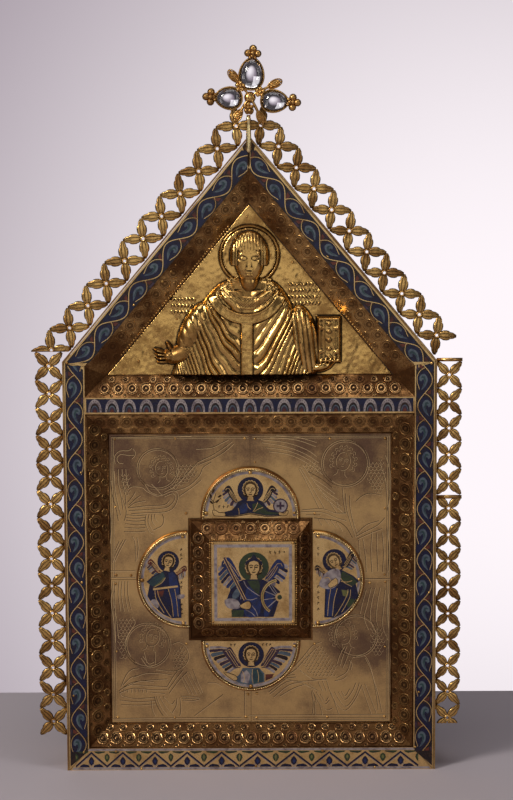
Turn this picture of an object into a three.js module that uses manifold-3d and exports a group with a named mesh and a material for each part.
// A gable-shaped reliquary: an oak case clad in gilt copper, with champleve enamel strips round its front,
// stamped sloping bands, a saint in relief in the gable, engraved plates below, and an openwork crest.
// Millimetres, +Z up, front towards -Y, origin in the middle of the underside.
import * as THREE from "three";
import { mergeVertices } from "three/addons/utils/BufferGeometryUtils.js";
import Module from "manifold-3d";

const wasm = await Module();
wasm.setup();

// Driving dimensions of the body
const BODY_WIDTH = 288;
const SHOULDER_HEIGHT = 322;
const ROOF_RISE = 172;
const BODY_DEPTH = 64;
const WALL = 9;
const BACK_LEDGE = 4;
const BACK_BOARD_THICKNESS = 8;
const SEAT_GAP = 0.3;
const CLADDING_THICKNESS = 1.2;
const CLADDING_LIP = 0.4;

// Front border, recesses and the sloping bands
const STRIP_WIDTH = 17;
const BASE_RAIL_HEIGHT = 17.5;
const RAKE_WIDTH = 15.5;
const ENAMEL_THICKNESS = 2;
const RECESS_DEPTH = 13;
const BAND_WIDTH = 17.5;
const GABLE_SILL_WIDTH = 16;
const BAND_THICKNESS = 1.3;
const FIELD_PLATE_THICKNESS = 1.4;
const SILL_DROP = 28;
const ARCADE_HEIGHT = 12.5;
const APEX_NOTCH = 4.8;
const PLATE_JOINT = 0.3;

// Raised centre with its four lobes
const BOSS_HALF = 47;
const BOSS_TOP_HALF = 32.6;
const BOSS_RISE = 14.2;
const BOSS_FLANGE = 1.5;
const BOSS_SHEET = 1.2;
const BOSS_LEAN = 2;
const BOSS_PLATE_THICKNESS = 2.2;
const LOBE_RADIUS = 39;
const LOBE_STILT = 1.5;
const LOBE_RIM_WIDTH = 2.8;
const LOBE_RIM_HEIGHT = 4.8;
const LOBE_PLATE_THICKNESS = 3.2;
const LOBE_ARC_STEPS = 13;

// Openwork crest: flowers of four petals whose tips meet. Widths and pitches differ a little between the sides.
const CREST_THICKNESS = 1.6;
const CREST_SETBACK = 7;
const CREST_TIP = 0.86;
const CREST_NOTCH = 0.48;
const CREST_NECK = 0.66;
const CREST_PETAL_MIDDLE = [0.54, 0.46];
const CREST_PETAL_SPREAD = [0.2, 0.26];
const CREST_RUN_GAP = 0.4;
const CREST_BAR = 2.6;
const SIDE_CRESTS = [
  { word: "left", side: -1, width: 22, pitch: 21.55, rise: 6.8, lowerRun: 4, bar: 0, foot: 26.5 },
  { word: "right", side: 1, width: 20, pitch: 20.8, rise: -1.4, lowerRun: 9, bar: 1, foot: 35 },
];
const RAKE_CREST_WIDTH = 23.6;
const RAKE_CREST_SLIMNESS = 0.78;
const RAKE_CREST_OVERRUN = 10.5;
const RAKE_CRESTS = [
  { word: "left", side: -1, start: -10.3, flowers: 11 },
  { word: "right", side: 1, start: 3.8, flowers: 11 },
];

// Finial
const STEM_RADIUS = 2.1;
const STEM_LENGTH = 28.3;
const STEM_FOOT_DROP = 13;
const FINIAL_RISE = 29.7;
const FINIAL_TILT = 4;
const FINIAL_SHIFT = 1.2;
const CRYSTALS = [
  { word: "top", turn: 0, long: 11.2, wide: 8.6, reach: 16.7, drop: 0 },
  { word: "left", turn: -Math.PI / 2, long: 9.4, wide: 7.6, reach: 16, drop: 2.6 },
  { word: "right", turn: Math.PI / 2, long: 9.6, wide: 7.6, reach: 18.8, drop: 2.6 },
];
const CRYSTAL_DEPTH = 6.4;
const CRYSTAL_TAPER = 0.16;
const BEZEL_RADIUS = 1;
const BEZEL_ROOM = 0.7;
const BUD_LOBE = 2.8;
const BUD_SPREAD = 4.4;
const LEAVES = [
  { out: -13.3, up: 13.9 },
  { out: 18, up: 10.3 },
  { out: -8.3, up: -15.5 },
  { out: 9.4, up: -16 },
];
const FLORETS = [
  { out: -7.8, up: 6.7 },
  { out: 7.4, up: 3.4 },
  { out: -0.8, up: -8.8 },
];
const SOCKET_DROP = -10.6;
const LEAF_LONG = 6.2;
const LEAF_WIDE = 3;

// Relief of the saint
const RELIEF_ROWS = 41;
const RELIEF_SHEET = 1.4;
const RELIEF_EDGE = 0.4;

// Places worked out from the sizes above
const HALF = BODY_WIDTH / 2;
const APEX = SHOULDER_HEIGHT + ROOF_RISE;
const PITCH = ROOF_RISE / HALF;
const ROOF_ANGLE = Math.atan(PITCH);
const PER_WIDTH = 1 / Math.cos(ROOF_ANGLE);
const FRONT = -BODY_DEPTH / 2;
const BACK = BODY_DEPTH / 2;
const CASE_FRONT = FRONT + ENAMEL_THICKNESS;
const FIELD_FRONT = FRONT + RECESS_DEPTH;
const FIELD_WOOD = FIELD_FRONT + FIELD_PLATE_THICKNESS;
const CASE_INSET = CLADDING_THICKNESS + SEAT_GAP;
const POCKET_FRONT = FIELD_WOOD + WALL;
const BACK_SEAT = BACK - BACK_BOARD_THICKNESS;
const STILE_INNER = HALF - STRIP_WIDTH;
const LOWER_BOTTOM = BASE_RAIL_HEIGHT;
const FIELD_BOTTOM = LOWER_BOTTOM + BAND_WIDTH;
const GABLE_SILL = SHOULDER_HEIGHT - SILL_DROP;
const LOWER_TOP = GABLE_SILL - ARCADE_HEIGHT;
const FIELD_TOP = LOWER_TOP - BAND_WIDTH;
const FIELD_HEIGHT = FIELD_TOP - FIELD_BOTTOM;
const FIELD_HALF = STILE_INNER - BAND_WIDTH;
const RAKE_INNER_APEX = APEX - RAKE_WIDTH * PER_WIDTH;
const GABLE_FIELD_APEX = RAKE_INNER_APEX - BAND_WIDTH * PER_WIDTH;
const GABLE_FIELD_BOTTOM = GABLE_SILL + GABLE_SILL_WIDTH;
const GABLE_FIELD_HALF = (GABLE_FIELD_APEX - GABLE_FIELD_BOTTOM) / PITCH;
const RAKE_INNER_SHOULDER = RAKE_INNER_APEX - STILE_INNER * PITCH;
const BOSS_HEIGHT = (FIELD_BOTTOM + FIELD_TOP) / 2;
const BOSS_TOP = FIELD_FRONT - BOSS_RISE;
const BAND_OUTER_FRONT = CASE_FRONT - SEAT_GAP - BAND_THICKNESS;
const BAND_INNER_FRONT = FIELD_WOOD - SEAT_GAP - BAND_THICKNESS;

// Materials
const metal = (color, roughness) => new THREE.MeshStandardMaterial({ color, roughness, metalness: 1 });
const GILT = metal(0xb98a3c, 0.32);
const STAMPED = metal(0x7a5426, 0.4);
const ENGRAVED = metal(0x9a7a45, 0.45);
const ENAMEL = new THREE.MeshStandardMaterial({ color: 0x1c2758, roughness: 0.25 });
const OAK = new THREE.MeshStandardMaterial({ color: 0x5a4028, roughness: 0.8 });
const CRYSTAL = new THREE.MeshStandardMaterial({ color: 0xb9bcc6, roughness: 0.05, metalness: 0 });

const reliquary = new THREE.Group();

function place(name, geometry, material, parent = reliquary) {
  const mesh = new THREE.Mesh(geometry, material);
  mesh.name = name;
  parent.add(mesh);
  return mesh;
}

// A closed mesh as a solid, and a solid as a mesh
function solid(geometry) {
  const bare = geometry.index ? geometry.toNonIndexed() : geometry.clone();
  bare.deleteAttribute("normal");
  bare.deleteAttribute("uv");
  const merged = mergeVertices(bare, 1e-4);
  return new wasm.Manifold(
    new wasm.Mesh({
      numProp: 3,
      vertProperties: new Float32Array(merged.attributes.position.array),
      triVerts: new Uint32Array(merged.index.array),
    }),
  );
}

function geometryOf(made) {
  const mesh = made.getMesh();
  const geometry = new THREE.BufferGeometry();
  geometry.setAttribute("position", new THREE.BufferAttribute(mesh.vertProperties, 3));
  geometry.setIndex(new THREE.BufferAttribute(mesh.triVerts, 1));
  return geometry;
}

function union(pieces) {
  return pieces.reduce((all, piece) => all.add(piece));
}

// A flat outline of [x, z] points, as thick as the way from one depth to the other
function slab(outline, front, back, holes = []) {
  const points = outline.map(([x, z]) => new THREE.Vector2(x, z));
  if (THREE.ShapeUtils.isClockWise(points)) points.reverse();
  const shape = new THREE.Shape(points);
  for (const hole of holes) {
    shape.holes.push(new THREE.Path(hole.map(([x, z]) => new THREE.Vector2(x, z))));
  }
  const geometry = new THREE.ExtrudeGeometry(shape, { depth: back - front, bevelEnabled: false, curveSegments: 1 });
  return geometry.rotateX(Math.PI / 2).translate(0, back, 0);
}

// Triangles of corner numbers as a geometry, without those that have shrunk to a line
function fromTriangles(corners, triangles) {
  const key = (point) => point.map((value) => value.toFixed(5)).join();
  const whole = triangles.filter((t) => new Set(t.map((i) => key(corners[i]))).size === 3);
  const geometry = new THREE.BufferGeometry();
  const flat = whole.flatMap((t) => t.flatMap((i) => corners[i]));
  geometry.setAttribute("position", new THREE.Float32BufferAttribute(flat, 3));
  return geometry;
}

// Bent sheet metal: corners [x, y, z] of its front, faces that run anticlockwise seen from the front
function sheet(corners, faces, thickness) {
  const count = corners.length;
  const all = [...corners, ...corners.map(([x, y, z]) => [x, y + thickness, z])];
  const triangles = [];
  const edges = new Map();
  for (const face of faces) {
    for (let i = 1; i + 1 < face.length; i++) {
      triangles.push([face[0], face[i], face[i + 1]]);
      triangles.push([face[0] + count, face[i + 1] + count, face[i] + count]);
    }
    face.forEach((a, i) => edges.set(a + "," + face[(i + 1) % face.length], [a, face[(i + 1) % face.length]]));
  }
  for (const [a, b] of edges.values()) {
    if (edges.has(b + "," + a)) continue;
    triangles.push([a, a + count, b + count], [a, b + count, b]);
  }
  return fromTriangles(all, triangles);
}

// A solid between a front outline and a back outline with as many points
function loft(frontOutline, frontY, backOutline, backY) {
  const count = frontOutline.length;
  const front = frontOutline.map(([x, z]) => [x, frontY, z]);
  const back = backOutline.map(([x, z]) => [x, backY, z]);
  const cap = THREE.ShapeUtils.triangulateShape(
    frontOutline.map(([x, z]) => new THREE.Vector2(x, z)),
    [],
  );
  const triangles = cap.flatMap((t) => [t, [t[0] + count, t[2] + count, t[1] + count]]);
  for (let i = 0; i < count; i++) {
    const next = (i + 1) % count;
    triangles.push([i, i + count, next + count], [i, next + count, next]);
  }
  return fromTriangles([...front, ...back], triangles);
}

// The same, with its front carried on along its slopes, so that it cuts cleanly
function cutter(frontOutline, frontY, backOutline, backY, past) {
  const share = past / (backY - frontY);
  const wider = frontOutline.map(([x, z], i) => [
    x + (x - backOutline[i][0]) * share,
    z + (z - backOutline[i][1]) * share,
  ]);
  return solid(loft(wider, frontY - past, backOutline, backY));
}

// The body's outline, drawn in by one width at the sides and roof and another at the bottom
function bodyOutline(inset, bottom) {
  const half = HALF - inset;
  const apex = APEX - inset * PER_WIDTH;
  const shoulder = apex - half * PITCH;
  return [
    [-half, bottom],
    [half, bottom],
    [half, shoulder],
    [0, apex],
    [-half, shoulder],
  ];
}

function square(half, shift = 0) {
  return [
    [shift - half, BOSS_HEIGHT - half],
    [shift + half, BOSS_HEIGHT - half],
    [shift + half, BOSS_HEIGHT + half],
    [shift - half, BOSS_HEIGHT + half],
  ];
}

// Outlines of the two recesses, at the frame and at the field
const LOWER_OPENING = [
  [-STILE_INNER, LOWER_BOTTOM],
  [STILE_INNER, LOWER_BOTTOM],
  [STILE_INNER, LOWER_TOP],
  [-STILE_INNER, LOWER_TOP],
];
const LOWER_FIELD = [
  [-FIELD_HALF, FIELD_BOTTOM],
  [FIELD_HALF, FIELD_BOTTOM],
  [FIELD_HALF, FIELD_TOP],
  [-FIELD_HALF, FIELD_TOP],
];
const GABLE_OPENING = [
  [-STILE_INNER, GABLE_SILL],
  [STILE_INNER, GABLE_SILL],
  [STILE_INNER, RAKE_INNER_SHOULDER],
  [0, RAKE_INNER_APEX],
  [-STILE_INNER, RAKE_INNER_SHOULDER],
];
const GABLE_FIELD = [
  [-GABLE_FIELD_HALF, GABLE_FIELD_BOTTOM],
  [GABLE_FIELD_HALF, GABLE_FIELD_BOTTOM],
  [GABLE_FIELD_HALF, GABLE_FIELD_BOTTOM],
  [0, GABLE_FIELD_APEX],
  [-GABLE_FIELD_HALF, GABLE_FIELD_BOTTOM],
];

// The oak case, hollow from behind, with its stepped front and the block under the raised centre
function makeCase() {
  const past = 2;
  const outer = solid(slab(bodyOutline(CASE_INSET, 0), CASE_FRONT, BACK));
  const pocket = solid(slab(bodyOutline(CASE_INSET + WALL, WALL), POCKET_FRONT, BACK + past));
  const rebate = solid(slab(bodyOutline(CASE_INSET + WALL - BACK_LEDGE, WALL - BACK_LEDGE), BACK_SEAT, BACK + past));
  const lower = cutter(LOWER_OPENING, CASE_FRONT, LOWER_FIELD, FIELD_WOOD, past);
  const gable = cutter(GABLE_OPENING, CASE_FRONT, GABLE_FIELD, FIELD_WOOD, past);
  const seat = BOSS_TOP + BOSS_SHEET + SEAT_GAP;
  const block = solid(
    loft(square(BOSS_TOP_HALF - SEAT_GAP, BOSS_LEAN), seat, square(BOSS_HALF - 2 * SEAT_GAP), FIELD_WOOD + WALL / 2),
  );
  const hollowed = outer.subtract(lower).subtract(gable).subtract(pocket).subtract(rebate);
  place("oak_case", geometryOf(hollowed.add(block)), OAK);
  const board = bodyOutline(CASE_INSET + WALL - BACK_LEDGE + SEAT_GAP, WALL - BACK_LEDGE + SEAT_GAP);
  place("back_board", slab(board, BACK_SEAT, BACK), OAK);
}

// Gilt copper sheets over the sides and the roof, their front edges standing proud as a thin rim
function makeCladding() {
  const outer = bodyOutline(0, 0);
  const inner = bodyOutline(CLADDING_THICKNESS, 0);
  const side = [outer[1], outer[2], inner[2], inner[1]];
  const roof = [outer[2], outer[3], inner[3], inner[2]];
  for (const [word, sign] of [["left", -1], ["right", 1]]) {
    const turn = (outline) => outline.map(([x, z]) => [sign * x, z]);
    place("side_cladding_" + word, slab(turn(side), FRONT - CLADDING_LIP, BACK), GILT);
    place("roof_cladding_" + word, slab(turn(roof), FRONT - CLADDING_LIP, BACK), GILT);
  }
}

// Champleve enamel strips round the front and across it
function makeEnamelBorder() {
  const edge = bodyOutline(CASE_INSET, 0);
  const corner = [edge[1][0], edge[1][1]];
  const shoulder = edge[2];
  const joint = PLATE_JOINT / 2;
  const stile = [
    [corner[0], corner[1] + PLATE_JOINT],
    [shoulder[0], shoulder[1] - joint],
    [STILE_INNER, RAKE_INNER_SHOULDER - joint],
    [STILE_INNER, LOWER_BOTTOM + joint],
  ];
  const rake = [
    [shoulder[0], shoulder[1] + joint],
    [APEX_NOTCH, edge[3][1] - APEX_NOTCH * PITCH],
    [joint, RAKE_INNER_APEX - joint * PITCH],
    [STILE_INNER, RAKE_INNER_SHOULDER + joint],
  ];
  for (const [word, sign] of [["left", -1], ["right", 1]]) {
    const turn = (outline) => outline.map(([x, z]) => [sign * x, z]);
    place("enamel_stile_" + word, slab(turn(stile), FRONT, CASE_FRONT), ENAMEL);
    place("enamel_rake_" + word, slab(turn(rake), FRONT, CASE_FRONT), ENAMEL);
  }
  const foot = corner[0] - PLATE_JOINT;
  const rail = [
    [-foot, 0],
    [foot, 0],
    [STILE_INNER - PLATE_JOINT, LOWER_BOTTOM],
    [PLATE_JOINT - STILE_INNER, LOWER_BOTTOM],
  ];
  place("enamel_base_rail", slab(rail, FRONT, CASE_FRONT), ENAMEL);
  const across = STILE_INNER - joint;
  const arcade = [
    [-across, LOWER_TOP],
    [across, LOWER_TOP],
    [across, GABLE_SILL],
    [-across, GABLE_SILL],
  ];
  place("enamel_arcade", slab(arcade, FRONT, CASE_FRONT), ENAMEL);
}

// Stamped copper bands on the slopes of both recesses
function makeBands() {
  const at = ([x, z], y) => [x, y, z];
  const bandBetween = (name, opening, field, i) => {
    const next = (i + 1) % opening.length;
    const corners = [
      at(opening[i], BAND_OUTER_FRONT),
      at(opening[next], BAND_OUTER_FRONT),
      at(field[next], BAND_INNER_FRONT),
      at(field[i], BAND_INNER_FRONT),
    ];
    place(name, sheet(corners, [[0, 1, 2, 3]], BAND_THICKNESS), STAMPED);
  };
  ["bottom", "right", "top", "left"].forEach((word, i) => {
    bandBetween("lower_band_" + word, LOWER_OPENING, LOWER_FIELD, i);
  });
  bandBetween("gable_band_right", GABLE_OPENING, GABLE_FIELD, 2);
  bandBetween("gable_band_left", GABLE_OPENING, GABLE_FIELD, 3);
  // The sill turns up at both ends to meet the rakes
  const sill = [
    at(GABLE_OPENING[4], BAND_OUTER_FRONT),
    at(GABLE_OPENING[0], BAND_OUTER_FRONT),
    at(GABLE_OPENING[1], BAND_OUTER_FRONT),
    at(GABLE_OPENING[2], BAND_OUTER_FRONT),
    at(GABLE_FIELD[1], BAND_INNER_FRONT),
    at(GABLE_FIELD[0], BAND_INNER_FRONT),
  ];
  place("gable_band_sill", sheet(sill, [[0, 1, 5], [1, 2, 4, 5], [2, 3, 4]], BAND_THICKNESS), STAMPED);
}

// Four engraved plates that cover the lower field and leave room for the raised centre
function makeFieldPlates() {
  const edge = FIELD_HALF - PLATE_JOINT;
  const joint = PLATE_JOINT / 2;
  const opening = BOSS_HALF;
  for (const [side, x] of [["left", -1], ["right", 1]]) {
    for (const [level, z] of [["lower", -1], ["upper", 1]]) {
      const rim = FIELD_HEIGHT / 2 - PLATE_JOINT;
      const quarter = [
        [opening, joint],
        [edge, joint],
        [edge, rim],
        [joint, rim],
        [joint, opening],
        [opening, opening],
      ].map(([u, v]) => [u * x, BOSS_HEIGHT + v * z]);
      place("engraved_plate_" + level + "_" + side, slab(quarter, FIELD_FRONT, FIELD_WOOD), ENGRAVED);
    }
  }
}

// The raised centre: a stamped sheet pyramid with a flange, and its square enamel plate
function makeBoss() {
  const level = FIELD_FRONT - BOSS_SHEET;
  const rings = [
    [square(BOSS_HALF + BOSS_FLANGE), level],
    [square(BOSS_HALF), level],
    [square(BOSS_TOP_HALF, BOSS_LEAN), BOSS_TOP],
  ];
  const corners = rings.flatMap(([outline, y]) => outline.map(([x, z]) => [x, y, z]));
  const faces = [];
  for (const ring of [0, 4]) {
    for (let i = 0; i < 4; i++) {
      const next = (i + 1) % 4;
      faces.push([ring + i, ring + next, ring + 4 + next, ring + 4 + i]);
    }
  }
  place("boss_frame", sheet(corners, faces, BOSS_SHEET), STAMPED);
  const seat = BOSS_TOP + BOSS_SHEET + SEAT_GAP;
  const plate = square(BOSS_TOP_HALF - SEAT_GAP, BOSS_LEAN);
  place("boss_enamel", slab(plate, seat - BOSS_PLATE_THICKNESS, seat), ENAMEL);
}

// Half-round enamels on the four sides of the centre, each in a raised rim
function makeLobes() {
  const arc = (radius) => {
    const points = [];
    for (let i = 0; i <= LOBE_ARC_STEPS; i++) {
      const angle = (Math.PI * i) / LOBE_ARC_STEPS;
      points.push([radius * Math.cos(angle), LOBE_STILT + radius * Math.sin(angle)]);
    }
    return points;
  };
  const inner = LOBE_RADIUS - LOBE_RIM_WIDTH;
  const rim = [[LOBE_RADIUS, 0], ...arc(LOBE_RADIUS), [-LOBE_RADIUS, 0], [-inner, 0], ...arc(inner).reverse(), [inner, 0]];
  const plateRadius = inner - SEAT_GAP;
  const plate = [[plateRadius, 0], ...arc(plateRadius), [-plateRadius, 0]];
  const reach = BOSS_HALF + BOSS_FLANGE + SEAT_GAP;
  const turns = [["top", 1, 0], ["left", 0, 1], ["bottom", -1, 0], ["right", 0, -1]];
  for (const [word, cos, sin] of turns) {
    const turned = (points) =>
      points.map(([u, v]) => [u * cos - (v + reach) * sin, BOSS_HEIGHT + u * sin + (v + reach) * cos]);
    place("lobe_rim_" + word, slab(turned(rim), FIELD_FRONT - LOBE_RIM_HEIGHT, FIELD_FRONT), GILT);
    place("lobe_enamel_" + word, slab(turned(plate), FIELD_FRONT - LOBE_PLATE_THICKNESS, FIELD_FRONT), ENAMEL);
  }
}

// One run of the openwork crest, drawn along s and across t and carried by toWorld into the plane of the front
function crestRun(count, pitch, width, slimness, toWorld) {
  const half = pitch / 2;
  const mid = width / 2;
  const [along, across] = CREST_PETAL_MIDDLE;
  const [spreadAlong, spreadAcross] = CREST_PETAL_SPREAD.map((spread) => spread * slimness);
  const star = [(along + spreadAlong) * half, (across - spreadAcross) * mid];
  const open = [(along - spreadAlong) * half, (across + spreadAcross) * mid];
  const edge = (centre, up) => [
    [centre + CREST_TIP * half, mid + up * mid],
    [centre + open[0], mid + up * open[1]],
    [centre, mid + up * CREST_NOTCH * mid],
    [centre - open[0], mid + up * open[1]],
    [centre - CREST_TIP * half, mid + up * mid],
  ];
  const halfStar = (centre, way) => [
    [centre + way * half, mid + way * CREST_NECK * mid],
    [centre + way * star[0], mid + way * star[1]],
    [centre + way * CREST_NOTCH * half, mid],
    [centre + way * star[0], mid - way * star[1]],
    [centre + way * half, mid - way * CREST_NECK * mid],
  ];
  const centres = Array.from({ length: count }, (_, i) => (i + 0.5) * pitch);
  const end = count * pitch;
  const outline = [
    [0, 0],
    ...centres.flatMap((centre) => edge(centre, -1).reverse()),
    [end, 0],
    ...halfStar(centres[count - 1], 1).reverse(),
    [end, width],
    ...centres.toReversed().flatMap((centre) => edge(centre, 1)),
    [0, width],
    ...halfStar(centres[0], -1).reverse(),
  ];
  const holes = centres.slice(1).map((centre) => [
    ...halfStar(centre - pitch, 1).slice(0, 4),
    ...halfStar(centre, -1).slice(0, 4),
  ]);
  const front = FRONT + CREST_SETBACK;
  return slab(outline.map(toWorld), front, front + CREST_THICKNESS, holes.map((hole) => hole.map(toWorld)));
}

// The part of a solid to one side of x and above z
function trimmed(piece, side, x, z) {
  const reach = 2 * APEX;
  const box = new THREE.BoxGeometry(reach, reach, reach);
  return piece.intersect(solid(box.translate(x + (side * reach) / 2, 0, z + reach / 2)));
}

// Crest runs down both sides, broken where old repairs join
function makeSideCrests() {
  for (const { word, side, width, pitch, rise, lowerRun, bar, foot } of SIDE_CRESTS) {
    const front = FRONT + CREST_SETBACK;
    let top = SHOULDER_HEIGHT + rise;
    const flowers = Math.max(lowerRun + 1, Math.round((top - foot) / pitch));
    [flowers - lowerRun, lowerRun].forEach((count, k) => {
      const start = top;
      const toWorld = ([s, t]) => [side * (HALF + t), start - s];
      let run = solid(crestRun(count, pitch, width, 1, toWorld));
      if (bar) {
        const ledge = [[-CREST_BAR * (1 - k), 0], [CREST_BAR * k, 0], [CREST_BAR * k, width], [-CREST_BAR * (1 - k), width]];
        run = run.add(solid(slab(ledge.map(toWorld), front, front + CREST_THICKNESS)));
      }
      const level = k ? "lower" : "upper";
      place("side_crest_" + word + "_" + level, geometryOf(trimmed(run, side, 0, foot)), GILT);
      top -= count * pitch + CREST_RUN_GAP;
    });
  }
}

// Crest runs up both slopes of the roof, trimmed where they meet behind the finial and at the shoulder
function makeRakeCrests() {
  const along = [Math.cos(ROOF_ANGLE), Math.sin(ROOF_ANGLE)];
  const length = Math.hypot(HALF, ROOF_RISE);
  RAKE_CRESTS.forEach(({ word, side, start, flowers }, i) => {
    const pitch = (length + RAKE_CREST_OVERRUN - start) / flowers;
    const toWorld = ([s, t]) => {
      const run = s + start;
      const off = t + SEAT_GAP;
      return [
        side * (HALF - run * along[0] + off * along[1]),
        SHOULDER_HEIGHT + run * along[1] + off * along[0],
      ];
    };
    const strip = solid(crestRun(flowers, pitch, RAKE_CREST_WIDTH, RAKE_CREST_SLIMNESS, toWorld));
    const floor = SHOULDER_HEIGHT + SIDE_CRESTS[i].rise + SEAT_GAP;
    place("rake_crest_" + word, geometryOf(trimmed(strip, side, side * SEAT_GAP, floor)), GILT);
  });
}

// A ball drawn out to three half-lengths, turned in the plane of the front
function egg([x, z], wide, deep, long, turn = 0, steps = 6) {
  const ball = new THREE.SphereGeometry(1, steps, steps > 6 ? 6 : 4);
  return solid(ball.rotateX(Math.PI / 2).scale(wide, deep, long).rotateY(turn).translate(x, 0, z));
}

// A rock crystal, a little narrower towards its outer end
function crystal({ turn, long, wide, reach, drop }, grow) {
  const stone = new THREE.SphereGeometry(1, 11, 7).rotateX(Math.PI / 2);
  const spots = stone.attributes.position;
  for (let i = 0; i < spots.count; i++) spots.setX(i, spots.getX(i) * (1 - CRYSTAL_TAPER * spots.getZ(i)));
  const out = [Math.sin(turn) * reach, Math.cos(turn) * reach - drop];
  return stone.scale(wide + grow, CRYSTAL_DEPTH + grow, long + grow).rotateY(turn).translate(out[0], 0, out[1]);
}

// The finial: three rock crystals in bezels, with buds and leaves, on a spindle before the apex
function makeFinial() {
  const stemY = FRONT - CLADDING_LIP - STEM_RADIUS - SEAT_GAP;
  const foot = APEX - STEM_FOOT_DROP;
  const profile = [[0, 0], [0, 0.4], [0.15, 0.8], [0.4, 1], [0.75, 0.9], [1, 0.7], [1, 0]];
  const turned = profile.map(([part, radius]) => new THREE.Vector2(radius * STEM_RADIUS, part * STEM_LENGTH));
  const stem = new THREE.LatheGeometry(turned, 8).rotateX(Math.PI / 2);
  place("finial_stem", stem.translate(0, stemY, foot), GILT);

  const cross = new THREE.Group();
  cross.position.set(FINIAL_SHIFT, stemY, APEX + FINIAL_RISE);
  cross.rotation.y = THREE.MathUtils.degToRad(FINIAL_TILT);
  reliquary.add(cross);
  const mount = [egg([0, -1], 6, 4.5, 5.5, 0, 8)];
  const stones = [];
  for (const size of CRYSTALS) {
    const { word, turn, long, wide, reach, drop } = size;
    const [dx, dz] = [Math.sin(turn), Math.cos(turn)];
    const at = (out, aside) => [dx * (reach + out) + dz * aside, dz * (reach + out) - dx * aside - drop];
    place("crystal_" + word, crystal(size, 0), CRYSTAL, cross);
    stones.push(solid(crystal(size, SEAT_GAP)));
    const bezel = new THREE.TorusGeometry(1, 0.1, 4, 14).rotateX(Math.PI / 2);
    const ring = BEZEL_RADIUS + BEZEL_ROOM;
    const spots = bezel.attributes.position;
    for (let i = 0; i < spots.count; i++) spots.setX(i, spots.getX(i) * (1 - CRYSTAL_TAPER * spots.getZ(i)));
    bezel.scale(wide + ring, BEZEL_RADIUS / 0.1, long + ring).rotateY(turn);
    const [cx, cz] = at(0, 0);
    mount.push(solid(bezel.translate(cx, 0, cz)));
    // The bud at the outer end is a knot of small lobes on a neck
    const bud = long + BEZEL_RADIUS + BUD_LOBE;
    mount.push(egg(at(bud - 0.8, 0), 2.4, 2.4, 2.8, turn));
    mount.push(egg(at(bud + BUD_SPREAD, 0), BUD_LOBE, BUD_LOBE, BUD_LOBE, turn));
    mount.push(egg(at(bud + 0.4, -BUD_SPREAD), BUD_LOBE, BUD_LOBE, BUD_LOBE, turn));
    mount.push(egg(at(bud + 0.4, BUD_SPREAD), BUD_LOBE, BUD_LOBE, BUD_LOBE, turn));
  }
  for (const { out, up } of LEAVES) {
    const turn = Math.atan2(out, up);
    const reach = Math.hypot(out, up) + LEAF_LONG;
    const outline = [[0, 0.1], [0.7, 0.1], [0.4, 0.45], [1, 1 - LEAF_LONG / reach], [0.75, 0.92], [0, 1]];
    const points = outline.map(([radius, part]) => new THREE.Vector2(radius * LEAF_WIDE, part * reach));
    mount.push(solid(new THREE.LatheGeometry(points, 6).rotateX(Math.PI / 2).scale(1, 0.6, 1).rotateY(turn)));
  }
  for (const { out, up } of FLORETS) mount.push(egg([out, up], 3, 4.8, 3));
  mount.push(egg([-0.4, SOCKET_DROP], 2.8, 2.8, 3.2));
  // The stones sit in the mount with a little room round them
  const whole = stones.reduce((left, stone) => left.subtract(stone), union(mount));
  place("finial_mount", geometryOf(whole), GILT, cross);
}

// Smooth steps and mounds for the relief
const clamp = (value) => Math.min(1, Math.max(0, value));
const soft = (value) => clamp(value) ** 2 * (3 - 2 * clamp(value));
const raised = (distance, width, height) => height * (1 - soft(Math.abs(distance) / width));

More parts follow.
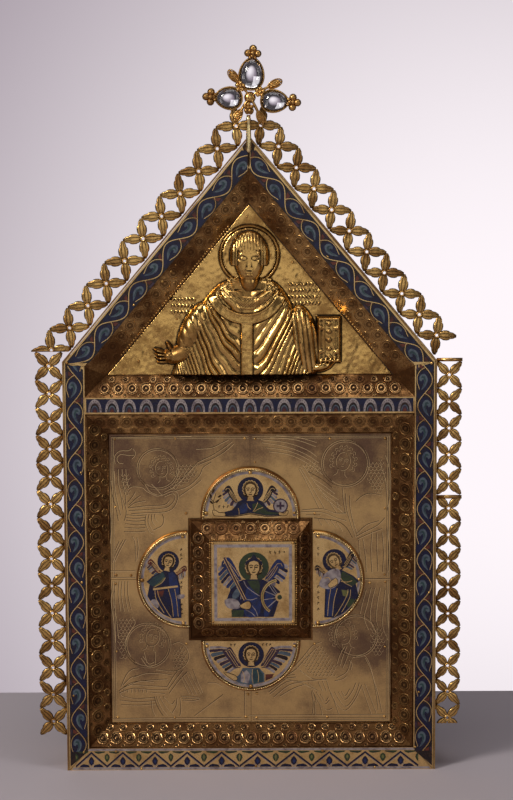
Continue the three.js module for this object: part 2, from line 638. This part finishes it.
// Height of the relief over its plate, at x across and z up, all in shares of the field's height
function reliefHeight(x, z) {
  const mound = (cx, cz, rx, rz, height, turn = 0) => {
    const [dx, dz] = [x - cx, z - cz];
    const u = (dx * Math.cos(turn) + dz * Math.sin(turn)) / rx;
    const v = (dz * Math.cos(turn) - dx * Math.sin(turn)) / rz;
    return height * Math.sqrt(Math.max(0, 1 - u * u - v * v));
  };
  // Halo: a shallow dish with a raised ring
  const halo = Math.hypot(x, z - 0.7);
  let height = halo < 0.18 ? 0.004 + raised(halo - 0.163, 0.02, 0.012) : 0;
  // Body: a bell under the shoulders, wider on the side of the raised arm
  const down = clamp((0.55 - z) / 0.55);
  const half = 0.13 + (x < 0 ? 0.33 : 0.25) * Math.pow(down, 0.55);
  const side = 1 - (x / half) ** 2;
  if (side > 0 && z < 0.56) {
    const bell = 0.068 * Math.pow(side, 0.42) * Math.sqrt(clamp((0.58 - z) / 0.12));
    const hang = z - 1.9 * (x + 0.03) ** 2;
    const folds = 0.006 * Math.cos(hang * 62) * soft(side * 3) * soft(Math.abs(x + 0.03) / 0.06);
    height = Math.max(height, bell + folds);
  }
  // The band over the shoulders and down the middle, and the pearled collar
  const dressed = height;
  const yoke = Math.hypot((x + 0.03) / 0.2, (z - 0.53) / 0.2);
  if (side > 0.1 && z < 0.5) height = Math.max(height, dressed + raised(yoke - 1, 0.16, 0.011));
  if (z < 0.33) height = Math.max(height, dressed + raised(x + 0.03, 0.045, 0.012));
  const collar = Math.hypot(x / 0.15, (z - 0.56) / 0.12);
  if (side > 0 && z < 0.56) height = Math.max(height, dressed + raised(collar - 0.9, 0.3, 0.013));
  // Neck, hair, face and nose
  height = Math.max(height, mound(0, 0.57, 0.06, 0.08, 0.08));
  height = Math.max(height, mound(0, 0.715, 0.098, 0.125, 0.085));
  height = Math.max(height, mound(0, 0.685, 0.076, 0.118, 0.098));
  height = Math.max(height, mound(0, 0.68, 0.02, 0.045, 0.106));
  // Arm, cuff and open hand to the left
  height = Math.max(height, mound(-0.34, 0.22, 0.075, 0.19, 0.06, -0.95));
  height = Math.max(height, mound(-0.43, 0.15, 0.035, 0.06, 0.056, -0.95));
  height = Math.max(height, mound(-0.52, 0.13, 0.065, 0.045, 0.05, 0.3));
  // Sleeve to the right, the book, and the hand under it
  height = Math.max(height, mound(0.3, 0.2, 0.06, 0.2, 0.06, 0.3));
  const book = Math.max(Math.abs(x - 0.457) - 0.0635, Math.abs(z - 0.2) - 0.1325);
  height = Math.max(height, 0.055 * (1 - soft(book / 0.02 + 0.5)));
  return Math.max(height, mound(0.42, 0.06, 0.065, 0.04, 0.062, 0.4));
}

// The saint, beaten up from one sheet that fills the gable field
function makeRelief() {
  const bottom = GABLE_FIELD_BOTTOM + RELIEF_EDGE;
  const apex = GABLE_FIELD_APEX - RELIEF_EDGE * (PER_WIDTH + 1);
  const half = (apex - bottom) / PITCH;
  const tall = apex - bottom;
  const back = FIELD_WOOD;
  const front = back - RELIEF_SHEET;
  const corners = [];
  const rowStart = [];
  for (let row = 0; row <= RELIEF_ROWS; row++) {
    rowStart.push(corners.length);
    const z = row / RELIEF_ROWS;
    const cells = RELIEF_ROWS - row;
    for (let i = 0; i <= cells; i++) {
      const x = cells ? (half / tall) * (1 - z) * ((2 * i) / cells - 1) : 0;
      const rim = i === 0 || i === cells || row === 0;
      const lift = rim ? Math.min(reliefHeight(x, z), row === 0 ? 1 : 0) : reliefHeight(x, z);
      corners.push([x * tall, front - lift * tall, bottom + z * tall]);
    }
  }
  const count = corners.length;
  const border = [];
  for (let i = 0; i <= RELIEF_ROWS; i++) border.push(i);
  for (let row = 1; row <= RELIEF_ROWS; row++) border.push(rowStart[row] + RELIEF_ROWS - row);
  for (let row = RELIEF_ROWS - 1; row > 0; row--) border.push(rowStart[row]);
  const all = [...corners, ...border.map((i) => [corners[i][0], back, corners[i][2]])];
  const triangles = [];
  for (let row = 0; row < RELIEF_ROWS; row++) {
    for (let i = 0; i < RELIEF_ROWS - row; i++) {
      const [a, c] = [rowStart[row] + i, rowStart[row + 1] + i];
      triangles.push([a, a + 1, c]);
      if (i + 1 < RELIEF_ROWS - row) triangles.push([a + 1, c + 1, c]);
    }
  }
  border.forEach((a, i) => {
    const next = (i + 1) % border.length;
    triangles.push([a, count + i, count + next], [a, count + next, border[next]]);
  });
  const backCap = THREE.ShapeUtils.triangulateShape(
    border.map((i) => new THREE.Vector2(corners[i][0], corners[i][2])),
    [],
  );
  for (const [a, b, c] of backCap) triangles.push([count + a, count + c, count + b]);
  place("gable_relief", fromTriangles(all, triangles), GILT);
}

makeCase();
makeCladding();
makeEnamelBorder();
makeBands();
makeFieldPlates();
makeBoss();
makeLobes();
makeSideCrests();
makeRakeCrests();
makeFinial();
makeRelief();

export default reliquary;
